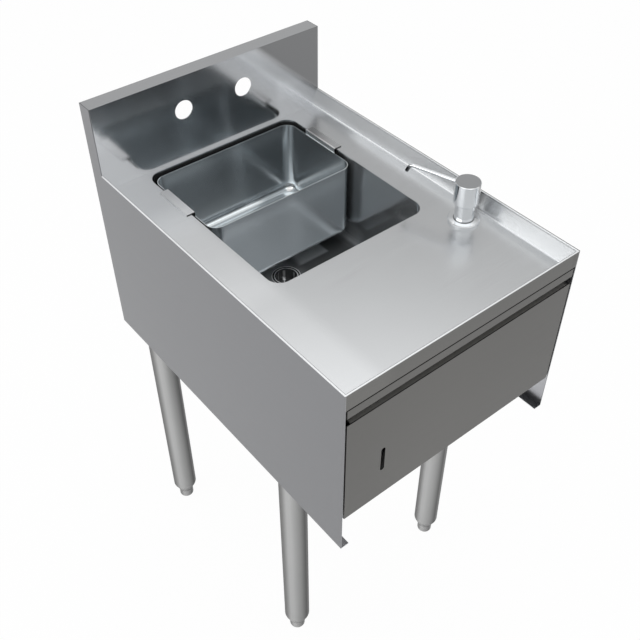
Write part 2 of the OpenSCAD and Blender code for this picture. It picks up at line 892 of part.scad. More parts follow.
module pump_cylinder() {
    color("whitesmoke")
    difference() {
        union() {
            rod(pump_x, pump_y, shank_low - cylinder_h, shank_low, cylinder_d);
            rod(pump_x, pump_y, shank_low - 2, shank_low, shank_d - 1);
        }
        rod(pump_x, pump_y, shank_low - cylinder_h + 2, shank_low + 1, piston_d);
        rod(pump_x, pump_y, shank_low - cylinder_h - 1, shank_low, 3);
    }
}

module pump_washer() {
    color("black")
    ring(pump_x, pump_y, under_deck - washer_t, under_deck, washer_d, shank_d + 2 * fit);
}

module pump_nut() {
    top = under_deck - washer_t;
    color("white") hex_ring(pump_x, pump_y, top - nut_t, top, nut_d, shank_d + 2 * fit);
}

module bottle_profile(inset) {
    neck = (bottle_neck_d / 2) - inset;
    body = bottle_d / 2 - inset;
    polygon([[0, bottle_low + inset], [body, bottle_low + inset], [body, bottle_top - bottle_shoulder],
        [neck, bottle_top - inset], [neck, bottle_neck_z], [0, bottle_neck_z]]);
}

module soap_bottle() {
    color("whitesmoke")
    difference() {
        place(pump_x, pump_y, 0) rotate_extrude() bottle_profile(0);
        place(pump_x, pump_y, 0) rotate_extrude() intersection() {
            bottle_profile(bottle_wall);
            translate([0, bottle_low]) square([bottle_d, shank_low - bottle_low]);
        }
        rod(pump_x, pump_y, shank_low - 4, bottle_neck_z + 1, shank_d + 2 * fit);
    }
}

module dip_tube() {
    low = bottle_low + bottle_wall + 4;
    color("white")
    ring(pump_x, pump_y, low, shank_low - cylinder_h, dip_d, dip_d - 2);
}

deck_top();
sink_bowl();
backsplash();
left_side_panel();
right_side_panel();
rear_apron();
deck_stiffener();
header_strip();
front_door();
door_hinge_pins();
door_magnets();
compartment_liner();
left_leg_rail();
right_leg_rail();
front_cross_member();
rear_cross_member();
front_left_socket();
front_right_socket();
rear_left_socket();
rear_right_socket();
socket_bolts();
socket_set_screws();
front_left_leg();
front_right_leg();
rear_left_leg();
rear_right_leg();
front_left_foot();
front_right_foot();
rear_left_foot();
rear_right_foot();
ice_pan();
pan_hanger_left();
pan_hanger_right();
drain_body();
drain_gasket();
drain_locknut();
slip_nut();
drain_tailpiece();
crumb_cup();
pump_body();
pump_cap();
pump_spout();
pump_stem();
pump_spring();
pump_bush();
pump_cylinder();
pump_washer();
pump_nut();
soap_bottle();
dip_tube();
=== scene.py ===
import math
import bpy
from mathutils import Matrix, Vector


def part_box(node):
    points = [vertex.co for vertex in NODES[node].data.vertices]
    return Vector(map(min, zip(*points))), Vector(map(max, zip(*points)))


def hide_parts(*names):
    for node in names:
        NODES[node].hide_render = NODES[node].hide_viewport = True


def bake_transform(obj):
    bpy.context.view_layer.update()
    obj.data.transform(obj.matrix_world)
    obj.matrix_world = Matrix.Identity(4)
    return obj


bl_info = {
    "name": "Bar Sink With Ice Pan",
    "version": (1, 0, 0),
    "blender": (4, 5, 0),
    "location": "View3D > Sidebar > Bar Sink",
    "description": "Finishes, small formed pieces and a plain studio for a bar sink on legs",
    "category": "Object",
}

import bpy
from bpy.props import FloatProperty, FloatVectorProperty, IntProperty, PointerProperty
from mathutils import Vector

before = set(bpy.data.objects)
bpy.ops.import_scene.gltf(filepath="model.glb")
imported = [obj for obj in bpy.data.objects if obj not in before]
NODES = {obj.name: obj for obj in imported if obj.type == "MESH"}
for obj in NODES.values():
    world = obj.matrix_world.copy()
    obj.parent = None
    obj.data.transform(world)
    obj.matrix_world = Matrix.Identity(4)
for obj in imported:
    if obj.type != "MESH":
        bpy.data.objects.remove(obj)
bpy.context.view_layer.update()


# --- Shader maths -----------------------------------------------------------------------

class Value:
    """A shader socket that takes part in Python arithmetic. Each operator adds a Math node."""

    def __init__(self, finish, socket):
        self.finish = finish
        self.socket = socket

    def maths(self, operation, *others):
        inputs = dict(enumerate((self,) + others))
        return self.finish.add("ShaderNodeMath", {"operation": operation}, inputs)

    def __add__(self, other):
        return self.maths("ADD", other)

    __radd__ = __add__

    def __sub__(self, other):
        return self.maths("SUBTRACT", other)

    def __rsub__(self, other):
        return self.finish.add("ShaderNodeMath", {"operation": "SUBTRACT"}, {0: other, 1: self})

    def __mul__(self, other):
        return self.maths("MULTIPLY", other)

    __rmul__ = __mul__

    def abs(self):
        return self.maths("ABSOLUTE")

    def sine(self):
        return self.maths("SINE")

    def root(self):
        return self.maths("SQRT")

    def highest(self, other):
        return self.maths("MAXIMUM", other)

    def lowest(self, other):
        return self.maths("MINIMUM", other)

    def ramp(self, low, high, out_low=0.0, out_high=1.0):
        """A soft step from out_low at low to out_high at high."""
        return self.finish.add(
            "ShaderNodeMapRange",
            {"interpolation_type": "SMOOTHSTEP"},
            {"Value": self, "From Min": low, "From Max": high,
             "To Min": out_low, "To Max": out_high},
        )

    def above(self, start, soft):
        """0 up to start, rising to 1 over soft past it."""
        return self.ramp(start, start + soft)

    def below(self, start, soft):
        """1 up to start, falling to 0 over soft past it."""
        return self.ramp(start, start + soft, 1.0, 0.0)

    def ladder(self, stops):
        """A level that follows stops of (value, level), the values in rising order."""
        low, high = stops[0][0], stops[-1][0]
        share = self.finish.add("ShaderNodeMapRange", {},
                                {"Value": self, "From Min": low, "From Max": high})
        stops = [((at - low) / (high - low), (level, level, level)) for at, level in stops]
        return self.finish.add("ShaderNodeValToRGB", {"stops": stops}, {0: share})

    def band(self, centre, half, soft):
        """1 within half of centre, falling to 0 over soft on both sides."""
        return (self - centre).abs().ramp(half, half + soft, 1.0, 0.0)


class Finish:
    """One material or world tree. add() makes any node; the other methods are its common uses."""

    def __init__(self, owner):
        owner.use_nodes = True
        self.tree = owner.node_tree
        self.tree.nodes.clear()
        self.place = 0

    def add(self, kind, settings=None, inputs=None, output=0):
        node = self.tree.nodes.new(kind)
        node.location = (self.place % 12 * 200 - 2400, -(self.place // 12) * 260)
        self.place += 1
        for name, setting in (settings or {}).items():
            if name == "stops":
                self.set_stops(node.color_ramp, setting)
            else:
                setattr(node, name, setting)
        for name, given in (inputs or {}).items():
            if isinstance(given, Value):
                self.tree.links.new(given.socket, node.inputs[name])
            else:
                node.inputs[name].default_value = given
        return Value(self, node.outputs[output]) if len(node.outputs) else node

    @staticmethod
    def set_stops(ramp, stops):
        while len(ramp.elements) < len(stops):
            ramp.elements.new(1.0)
        for element, (position, colour) in zip(ramp.elements, stops):
            element.position = position
            element.color = (*colour, 1.0)

    def spot(self):
        """The place on the object, in metres in the frame of the whole part."""
        if not hasattr(self, "coordinates"):
            self.coordinates = self.add("ShaderNodeTexCoord", output="Object")
        return self.coordinates

    def axes(self):
        split = self.add("ShaderNodeSeparateXYZ", inputs={0: self.spot()})
        node = split.socket.node
        return [Value(self, node.outputs[axis]) for axis in "XYZ"]

    def radius(self, centre):
        """The distance from an upright axis through centre."""
        x, y, _ = self.axes()
        across, along = x - centre[0], y - centre[1]
        return (across * across + along * along).root()

    def rays(self):
        """1 for rays from the camera, and 1 for rays off a mirror or through glass."""
        seen = self.add("ShaderNodeLightPath", output="Is Camera Ray")
        path = seen.socket.node
        mirrored = Value(self, path.outputs["Is Glossy Ray"]).highest(
            Value(self, path.outputs["Is Transmission Ray"]))
        return seen, mirrored

    def noise(self, stretch, detail=2.0, roughness=0.5, shift=(0.0, 0.0, 0.0)):
        """Noise of the given number of cells a metre along x, y and z, between 0 and 1."""
        moved = self.add("ShaderNodeVectorMath", {"operation": "MULTIPLY_ADD"},
                         {0: self.spot(), 1: stretch, 2: shift})
        return self.add("ShaderNodeTexNoise", {"noise_dimensions": "3D"},
                        {"Vector": moved, "Scale": 1.0, "Detail": detail, "Roughness": roughness})

    def blend(self, share, under, over):
        """Two colours mixed by share."""
        inputs = {0: share}
        for key, given in ((6, under), (7, over)):
            inputs[key] = given if isinstance(given, Value) else (*given, 1.0)
        return self.add("ShaderNodeMix", {"data_type": "RGBA"}, inputs, output=2)

    def shade(self, colour, by):
        """A colour made lighter or darker by a factor that varies."""
        start = colour if isinstance(colour, Value) else (*colour, 1.0)
        factor = self.add("ShaderNodeCombineColor", inputs={0: by, 1: by, 2: by})
        return self.add("ShaderNodeMix", {"data_type": "RGBA", "blend_type": "MULTIPLY"},
                        {0: 1.0, 6: start, 7: factor}, output=2)

    def bump(self, height, distance, strength=1.0):
        return self.add("ShaderNodeBump", {},
                        {"Strength": strength, "Distance": distance, "Height": height})

    def surface(self, inputs, settings=None):
        body = self.add("ShaderNodeBsdfPrincipled", settings, inputs)
        self.add("ShaderNodeOutputMaterial", inputs={"Surface": body})


def new_finish(name):
    material = bpy.data.materials.new(name)
    return material, Finish(material)


def put_on(material, *names):
    """Gives CAD nodes a finish in place of the plain one that they come with."""
    for name in names:
        slots = NODES[name].data.materials
        slots.clear()
        slots.append(material)


# --- Sizes and places that the finishes follow ----------------------------------------------

# Sizes of the solids that their boxes don't give, in metres.
SHEET = 0.0012
RIM_WIDTH = 0.0024
RIM_HEIGHT = 0.0254
UPSTAND_WIDTH = 0.0112
COLLAR_HEIGHT = 0.004
NECK_RADIUS = 0.01325
ARM_RADIUS = 0.0025
# How far behind a sheet's face a finish starts to change, and over how far it does.
SKIN = 0.0004
EDGE = 0.0006
# Places from the back to the front (along y) between which the deck's painted light and shade change.
DECK_BACK = 0.15
DECK_MIDDLE = 0.05
DECK_AHEAD = -0.12
DECK_FRONT = -0.14
# Where painted shade starts to darken the front panels toward the right (along x), and where that ends.
FRONT_LEFT = -0.1
FRONT_RIGHT = 0.19
# The place along the right upstand where a painted reflection of the pump darkens it.
PUMP_MIRROR = -0.098
# Where the painted light area on the backsplash meets the painted dark reflection in its top right
# corner, and the way across it.
SPLASH_BEND = 0.079
SPLASH_SLOPE = (0.688, 0.726)
# The patch of the bowl's floor that gets a painted glint beside the pan's foot.
GLINT_LEFT = 0.026
GLINT_RIGHT = 0.084
GLINT_FRONT = 0.090

# Cells of noise a metre along x, y and z, for brush lines that run along one of them.
GRAIN = {"x": (9.0, 420.0, 420.0), "y": (420.0, 9.0, 420.0), "z": (420.0, 420.0, 9.0)}

# Painted light and dark reflection streaks round an upright tube: degrees from its painted lit side,
# and the level there.
TUBE_PAINTED_REFLECTIONS = ((-180, 1.0), (-115, 0.9), (-90, 0.15), (-52, 0.72), (-30, 1.35), (-14, 1.35),
                (24, 0.85), (52, 0.34), (64, 0.62), (88, 0.25), (115, 0.9), (180, 1.0))
CAP_PAINTED_REFLECTIONS = ((-180, 1.0), (52, 1.0), (64, 0.35), (72, 0.35), (82, 0.95), (180, 1.0))
# The place on the ground plan that the painted lit sides of the tubes face.
LIT_FROM = Vector((-0.60, -0.73))
# How much painted light the leg tubes get on either side of the unit: painted shade on the left,
# painted light on the right.
LEFT_LEG_PAINTED_LIGHT = 0.92
RIGHT_LEG_PAINTED_LIGHT = 1.06
# A tube's rolled skin glares less at its outline than a polished one.
LOW_GLARE = {"Specular IOR Level": 0.15, "Specular Tint": (0.35, 0.35, 0.35, 1.0)}

# The camera that the photograph's edges give: its place and the way it looks.
CAMERA_PLACE = (-0.6003, -0.7333, 1.4501)
CAMERA_AIM = Vector((0.45585, 0.56118, -0.69085))
# The floor lies this far below the feet.
FLOOR_DROP = 0.0005
# Each lamp's name, place, the point that it faces, its width and height, the property that
# holds its power, and whether metal mirrors it.
LAMPS = (
    ("key_lamp", (-3.2, 0.4, 1.5), (0.0, 0.0, 0.6), (4.0, 2.4), "key_power", True),
    ("top_lamp", (0.2, 0.2, 3.9), (0.0, 0.0, 0.7), (3.4, 3.4), "key_power", False),
    ("fill_lamp", (2.0, -2.6, 1.3), (0.0, 0.0, 0.4), (2.6, 2.0), "fill_power", False),
)


# --- Finishes -----------------------------------------------------------------------------

# A tone is a factor on the colour that paints light and shade into it. Each place in it is a share
# between 0 and 1, times how much lighter or darker the painted light and shade make the metal there.
# Lengths are in metres from the piece's own box.

def brushed_steel(name, colour, roughness, along, tone=None, mottle=0.05, grain=0.05,
                  lift=0.00002, metallic=1.0, **more):
    """Sheet steel with fine brush lines along one axis and faint cloudy handling marks.

    tone(finish) gives a factor on the colour from the place on the sheet. colour and metallic
    may be functions of the finish too. more holds settings of the shader itself."""
    material, finish = new_finish(name)
    lines = finish.noise(GRAIN[along], detail=3.0, roughness=0.6)
    clouds = finish.noise((7.0, 7.0, 7.0), detail=2.0, shift=(3.1, 1.7, 0.4))
    factor = 1.0 + (lines - 0.5) * (2 * grain) + (clouds - 0.5) * (2 * mottle)
    if tone:
        factor = factor * tone(finish)
    rough = roughness + (lines - 0.5) * 0.08 + (clouds - 0.5) * 0.05
    if callable(metallic):
        metallic = metallic(finish)
    if callable(colour):
        colour = colour(finish)
    finish.surface({
        "Base Color": finish.shade(colour, factor),
        "Metallic": metallic,
        "Roughness": rough,
        "Normal": finish.bump(lines, lift, 0.5),
        **more,
    })
    return material


def turned_metal(name, colour, roughness, pitch=0.0012, depth=0.00001, mottle=0.03, tone=None,
                 crown=None, metallic=1.0):
    """Turned or plated metal with very fine rings up its axis and slight mottling.

    tone and metallic are as in brushed_steel. crown(finish) gives a height in metres that the
    bump adds to the surface."""
    material, finish = new_finish(name)
    height = finish.axes()[2]
    relief = (height * (2 * math.pi / pitch)).sine() * depth
    if crown:
        relief = relief + crown(finish)
    if callable(metallic):
        metallic = metallic(finish)
    clouds = finish.noise((40.0, 40.0, 40.0), detail=2.0)
    factor = 1.0 + (clouds - 0.5) * (2 * mottle)
    if tone:
        factor = factor * tone(finish)
    finish.surface({
        "Base Color": finish.shade(colour, factor),
        "Metallic": metallic,
        "Roughness": roughness + (clouds - 0.5) * 0.08,
        "Normal": finish.bump(relief, 1.0, 1.0),
    })
    return material


def thread(finish, pitch, low, high, depth=0.0003):
    """The height of thread ridges between two levels, for a turned metal's crown."""
    height = finish.axes()[2]
    ridges = (height * (2 * math.pi / pitch)).sine()
    return ridges * height.band((low + high) / 2, (high - low) / 2, SKIN) * depth


def painted_tube_reflections(finish, axis, streaks):
    """Painted light and dark reflection streaks round a tube, as it would show in a bright room."""
    x, y, _ = finish.axes()
    lit = (LIT_FROM - axis.xy).normalized()
    toward = (x - axis.x) * lit.x + (y - axis.y) * lit.y
    across = (y - axis.y) * lit.x - (x - axis.x) * lit.y
    angle = across.maths("ARCTAN2", toward) * (180 / math.pi)
    return angle.ladder(streaks)


def moulded(name, colour, roughness, grain=0.00002, mottle=0.04):
    """Moulded plastic or rubber with a fine skin texture."""
    material, finish = new_finish(name)
    skin = finish.noise((900.0, 900.0, 900.0), detail=2.0)
    clouds = finish.noise((30.0, 30.0, 30.0))
    finish.surface({
        "Base Color": finish.shade(colour, 1.0 + (clouds - 0.5) * (2 * mottle)),
        "Roughness": roughness + (skin - 0.5) * 0.12,
        "Normal": finish.bump(skin, grain, 0.6),
    })
    return material


# --- Sizes and colours that a user would change -------------------------------------------

def colour_property(name, description, default):
    return FloatVectorProperty(name=name, description=description, default=default,
                               subtype="COLOR", size=3, min=0.0, max=1.0)


class SheetFinish(bpy.types.PropertyGroup):
    """Colours and gloss of the sheet metal"""
    deck_colour: colour_property("Deck", "Colour of the brushed deck", (0.71, 0.723, 0.734))
    splash_colour: colour_property("Backsplash", "Colour of the backsplash", (0.72, 0.73, 0.745))
    # The side and front panels are the deck's steel in darker colours, which is painted shade.
    side_shaded_colour: colour_property("Sides", "Colour of the side panels", (0.258, 0.261, 0.272))
    front_shaded_colour: colour_property("Front", "Colour of the front panels", (0.155, 0.153, 0.147))
    bowl_colour: colour_property("Bowl", "Colour of the drawn bowl", (0.52, 0.54, 0.555))
    pan_colour: colour_property("Pan", "Colour of the ice pan", (0.60, 0.635, 0.655))
    hanger_colour: colour_property("Hangers", "Colour of the pan's hangers", (0.80, 0.81, 0.82))
    frame_colour: colour_property("Underframe", "Colour of the hidden sheet parts",
                                  (0.40, 0.40, 0.40))
    deck_roughness: FloatProperty(name="Deck roughness", description="Gloss of the deck",
                                  default=0.24, min=0.0, max=1.0, subtype="FACTOR")
    panel_roughness: FloatProperty(name="Panel roughness", description="Gloss of the panels",
                                   default=0.34, min=0.0, max=1.0, subtype="FACTOR")


class FittingFinish(bpy.types.PropertyGroup):
    """Colours of the fittings and the wire of the pump's spring"""
    chrome_colour: colour_property("Chrome", "Colour of the plated pump", (0.93, 0.95, 0.97))
    drain_colour: colour_property("Drain", "Colour of the drain", (0.34, 0.345, 0.35))
    leg_colour: colour_property("Legs", "Colour of the leg tubes", (0.43, 0.432, 0.43))
    foot_colour: colour_property("Feet", "Colour of the feet", (0.42, 0.42, 0.42))
    cast_colour: colour_property("Sockets", "Colour of the cast leg sockets", (0.30, 0.30, 0.30))
    steel_colour: colour_property("Fasteners", "Colour of bolts and wire", (0.45, 0.45, 0.45))
    screw_colour: colour_property("Set screws", "Colour of the set screws", (0.05, 0.05, 0.05))
    magnet_colour: colour_property("Magnets", "Colour of the door magnets", (0.03, 0.03, 0.03))
    brass_colour: colour_property("Brass", "Colour of the brass nuts", (0.55, 0.36, 0.14))
    rubber_colour: colour_property("Rubber", "Colour of the gaskets", (0.02, 0.02, 0.02))
    plastic_colour: colour_property("Plastic", "Colour of the moulded pump parts",
                                    (0.78, 0.78, 0.75))
    bottle_colour: colour_property("Bottle", "Colour of the soap bottle", (0.80, 0.83, 0.84))
    spring_wire: FloatProperty(name="Spring wire", description="Thickness of the spring's wire",
                               default=0.0019, min=0.001, max=0.003, unit="LENGTH")
    spring_turns: IntProperty(name="Spring turns", description="Turns of the pump spring",
                              default=9, min=3, max=20)


class Studio(bpy.types.PropertyGroup):
    """Camera, floor and light"""
    lens: FloatProperty(name="Lens", description="Focal length of the camera in millimetres",
                        default=50.17, min=10.0, max=300.0)
    floor_reach: FloatProperty(name="Floor", description="Half width of the floor",
                               default=14.0, unit="LENGTH", min=1.0)
    soft_light: FloatProperty(name="Soft light", description="Strength of the light from all round",
                              default=0.5, min=0.0, max=2.0)
    key_power: FloatProperty(name="Key and top lamps",
                             description="Power of the lamps at the left and overhead",
                             default=46.0, min=0.0, unit="POWER")
    fill_power: FloatProperty(name="Fill lamp", description="Power of the lamp at the front right",
                              default=16.0, min=0.0, unit="POWER")
    floor_colour: colour_property("Floor", "Colour of the floor", (0.93, 0.93, 0.93))


# --- Pieces ---------------------------------------------------------------------------------

class SINK_OT_stage(bpy.types.Operator):
    """Adds the floor, the soft lamps, the world and the camera"""
    bl_idname = "bar_sink.stage"
    bl_label = "Studio"

    def execute(self, context):
        studio = context.scene.sink_studio
        self.floor(studio)
        self.world(context, studio)
        self.lamps(studio)
        self.camera(context, studio)
        context.scene.view_settings.view_transform = "Standard"
        return {"FINISHED"}

    def floor(self, studio):
        bpy.ops.object.select_all(action="DESELECT")
        bpy.ops.mesh.primitive_plane_add(size=2 * studio.floor_reach, location=(0, 0, -FLOOR_DROP))
        plane = bpy.context.object
        plane.name = "studio_floor"
        bpy.ops.object.transform_apply(location=True)
        material, finish = new_finish("studio_floor")
        seen, mirrored = finish.rays()
        # Mirrors see painted shade on the floor round the unit: darker near it, lighter far off.
        far = finish.radius((0.0, 0.0)).ramp(1.3, 3.0, 0.35, 0.95)
        shown = (seen * 0.97).highest(mirrored * far)
        plain = finish.add("ShaderNodeBsdfDiffuse", inputs={"Color": (*studio.floor_colour, 1.0)})
        white = finish.add("ShaderNodeEmission",
                           inputs={"Color": (1.0, 1.0, 1.0, 1.0), "Strength": 1.0})
        mixed = finish.add("ShaderNodeMixShader", inputs={0: shown, 1: plain, 2: white})
        finish.add("ShaderNodeOutputMaterial", inputs={"Surface": mixed})
        plane.data.materials.append(material)

    def world(self, context, studio):
        """White to the camera, a soft level to plain surfaces, and a ceiling to mirrors."""
        world = bpy.data.worlds.new("studio_world")
        context.scene.world = world
        finish = Finish(world)
        direction = finish.add("ShaderNodeTexCoord", output="Generated")
        split = finish.add("ShaderNodeSeparateXYZ", inputs={0: direction})
        rise = Value(finish, split.socket.node.outputs["Z"])
        back = Value(finish, split.socket.node.outputs["Y"])
        seen, mirrored = finish.rays()
        low_sky = back.ramp(-0.3, 0.4, 0.72, 0.46)
        ceiling = rise.ramp(0.60, 0.70, low_sky, 0.70) + rise.ramp(0.68, 0.77, 0.0, 0.62)
        overhead = ceiling * rise.ramp(0.79, 0.86, 1.0, 0.56)
        level = seen + (1.0 - seen) * (mirrored * overhead + (1.0 - mirrored) * studio.soft_light)
        light = finish.add("ShaderNodeBackground",
                           inputs={"Color": (1.0, 1.0, 1.0, 1.0), "Strength": level})
        finish.add("ShaderNodeOutputWorld", inputs={"Surface": light})

    def lamps(self, studio):
        for name, place, aim, size, power, mirrored in LAMPS:
            bpy.ops.object.light_add(type="AREA", location=place)
            lamp = bpy.context.object
            lamp.name = name
            lamp.data.shape = "RECTANGLE"
            lamp.data.size, lamp.data.size_y = size
            lamp.data.energy = getattr(studio, power)
            lamp.visible_glossy = mirrored
            way = Vector(aim) - Vector(place)
            lamp.rotation_euler = way.to_track_quat("-Z", "Y").to_euler()

    def camera(self, context, studio):
        bpy.ops.object.camera_add(location=CAMERA_PLACE)
        camera = bpy.context.object
        camera.name = "photo_camera"
        camera.rotation_euler = CAMERA_AIM.to_track_quat("-Z", "Y").to_euler()
        camera.data.sensor_width = 36.0
        camera.data.lens = studio.lens
        camera.data.clip_start = 0.01
        camera.data.clip_end = 60.0
        context.scene.camera = camera


class SINK_OT_sheet_metal(bpy.types.Operator):
    """Brushed finish on the deck, backsplash, side panels, door, header and underframe"""
    bl_idname = "bar_sink.sheet_metal"
    bl_label = "Sheet metal"

    def execute(self, context):
        sheet = context.scene.sink_sheet
        self.deck(sheet)
        self.backsplash(sheet)
        self.side_panels(sheet)
        self.front_panels(sheet)
        hidden = brushed_steel("underframe_steel", sheet.frame_colour, 0.42, "y", mottle=0.10,
                               grain=0.06)
        put_on(hidden, "deck_stiffener", "compartment_liner", "left_leg_rail", "right_leg_rail",
               "front_cross_member", "rear_cross_member")
        return {"FINISHED"}

    def deck(self, sheet):
        low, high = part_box("deck_top")
        side, front, rim_top = high.x, low.y, high.z
        rim_face = rim_top - 0.0009
        deck_level = rim_top - RIM_HEIGHT

        def on_fascia(finish):
            """The fascia: the front face below the rim."""
            _, y, z = finish.axes()
            return y.below(front + SKIN, EDGE) * z.below(rim_face, EDGE)

        def on_upstand(x, rim):
            """The right upstand's inner face."""
            return x.above(side - UPSTAND_WIDTH, SKIN) * (1.0 - rim)

        def on_bend(z):
            """The bend between the deck and its rims."""
            return z.band(deck_level + SHEET, 0.0009, 0.0003)

        # The fascia takes the front panels' darker colour, which is painted shade.
        def deck_colour(finish):
            return finish.blend(on_fascia(finish), sheet.deck_colour, sheet.front_shaded_colour)

        def deck_tone(finish):
            x, y, z = finish.axes()
            fascia = on_fascia(finish)
            # Painted shade on the fascia along its foot and growing toward the right.
            fascia_shade = (z.below(low.z + 0.0009, 0.0007) * 0.75
                            + x.ramp(FRONT_LEFT, FRONT_RIGHT) * 0.14)
            # Painted highlight on the rim, with painted shade in a thin line at the rim's inner edge,
            # along the deck's right end face and in a thin line under the rim's rounded top.
            rim = z.above(rim_face, EDGE)
            in_from_edge = (side - x.abs()).lowest(y - front)
            left_side = x.below(side - 0.005, 0.001)
            rim_crease_shade = in_from_edge.band(RIM_WIDTH - 0.0003, 0.0003, 0.0002) * rim * left_side
            right_edge_shade = x.above(side - SHEET - 0.0001, 0.0002)
            under_rim_shade = z.band(rim_top - 0.0016, 0.0003, SKIN) * (1.0 - fascia)
            # Painted highlight along the bend from the deck to its rims, and a little painted light on
            # the sloped faces above it.
            bend = on_bend(z) * (1.0 - fascia)
            slope = z.above(deck_level + SHEET, 0.0018) * (1.0 - rim) * (1.0 - fascia)
            # Painted light on the right upstand's inner face, from a little painted shade at the front
            # to painted light toward the back, darkened by a painted reflection of the pump.
            painted_pump_reflection = y.band(PUMP_MIRROR, 0.010, 0.010)
            upstand_light = (y.ramp(DECK_AHEAD, DECK_MIDDLE, -0.08, 0.32)
                             - painted_pump_reflection * 0.50) * on_upstand(x, rim)
            # Painted light on a strip along the left of the deck, and painted shade at its back right.
            left_painted_light = (x.below(-0.14, 0.03) * (1.0 - rim)
                          * (0.12 + y.band(0.04, 0.085, 0.05) * 0.13))
            back_right_painted_shade = x.ramp(0.02, 0.12) * y.ramp(DECK_MIDDLE, DECK_BACK)
            # Painted shade on the deck beside the right upstand, strongest in the middle, with a little
            # painted light at the front end.
            by_upstand = x.above(side - 0.036, 0.018) * z.below(deck_level, SKIN)
            upstand_shade = y.ramp(DECK_FRONT, 0.0, -0.07, 0.19) - y.ramp(0.07, DECK_BACK, 0.0, 0.17)
            lighter = rim * 0.35 + slope * 0.02 + bend * 0.30 + upstand_light + left_painted_light
            darker = (back_right_painted_shade * (0.02 + y.above(0.19, 0.03) * 0.07) + by_upstand * upstand_shade
                      + under_rim_shade * 0.4 + right_edge_shade * 1.1 + rim_crease_shade * 0.85 + fascia * fascia_shade)
            return 1.0 + lighter - darker

        def deck_metal(finish):
            x, y, z = finish.axes()
            rim = z.above(rim_top - 0.0005, 0.0002)
            upstand = on_upstand(x, rim) * y.ramp(DECK_AHEAD, DECK_MIDDLE, 0.05, 0.34)
            right_bend = on_bend(z) * x.above(side - 0.014, 0.001)
            return 1.0 - rim * 0.7 - upstand - right_bend * 0.6

        put_on(brushed_steel("deck_steel", deck_colour, sheet.deck_roughness, "x", deck_tone,
                             mottle=0.03, grain=0.025, metallic=deck_metal), "deck_top")

    def backsplash(self, sheet):
        low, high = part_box("backsplash")

        def splash_tone(finish):
            x, y, z = finish.axes()
            face = y.below(low.y + SKIN, SKIN)
            across = (x - SPLASH_BEND) * SPLASH_SLOPE[0] + (z - high.z) * SPLASH_SLOPE[1]
            # Painted reflections on the backsplash's face: a dark one in the top right corner, and
            # lighter ones low at the right, along the left and high at the left.
            corner = across.ramp(-0.008, 0.006)
            low_right = x.above(0.10, 0.02) * z.below(high.z - 0.076, 0.025) * (1.0 - corner)
            left = x.ramp(-0.18, -0.08, 0.10, 0.0)
            high_left = x.below(-0.185, 0.035) * z.above(high.z - 0.051, 0.020)
            return 1.0 + (low_right * 0.14 - corner * 0.70 + left + high_left * 0.20) * face

        put_on(brushed_steel("backsplash_steel", sheet.splash_colour, 0.14, "x", splash_tone,
                             mottle=0.02, grain=0.015), "backsplash")

    def side_panels(self, sheet):
        low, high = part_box("right_side_panel")

        def side_tone(finish):
            x, y, z = finish.axes()
            # Painted light on the panels' inner faces; painted shade on the right panel, low on its
            # inner face and along its front edge.
            inner = x.abs().below(high.x - SHEET + 0.0001, 0.0003)
            right = x.above(0.0, 0.01)
            foot = z.below(low.z + 0.0085, 0.008) * inner
            front_edge_shade = y.below(low.y + SKIN, EDGE)
            return 1.0 + inner * 1.4 - right * (foot * 1.3 + front_edge_shade * 0.5)

        put_on(brushed_steel("side_steel", sheet.side_shaded_colour, sheet.panel_roughness, "y", side_tone,
                             mottle=0.02, grain=0.015),
               "left_side_panel", "right_side_panel", "rear_apron")

    def front_panels(self, sheet):
        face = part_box("front_door")[0].y
        header_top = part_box("header_strip")[1].z

        def behind_face(finish):
            return finish.axes()[1].above(face + 0.0010, EDGE)

        def front_tone(finish):
            x, _, z = finish.axes()
            # Faces behind the front face lose most of the front's painted shade and are less metal, as
            # duller mill-finish steel. Painted shade along the header's top edge and growing toward the
            # right.
            behind = behind_face(finish)
            shade = z.above(header_top - 0.0009, 0.0005) * 0.7 + x.ramp(FRONT_LEFT, FRONT_RIGHT) * 0.14
            return 1.0 + behind * 1.4 - (1.0 - behind) * shade

        def front_metal(finish):
            return 1.0 - behind_face(finish) * 0.4

        put_on(brushed_steel("front_steel", sheet.front_shaded_colour, sheet.panel_roughness, "x",
                             front_tone, mottle=0.02, grain=0.015, metallic=front_metal),
               "front_door", "header_strip")


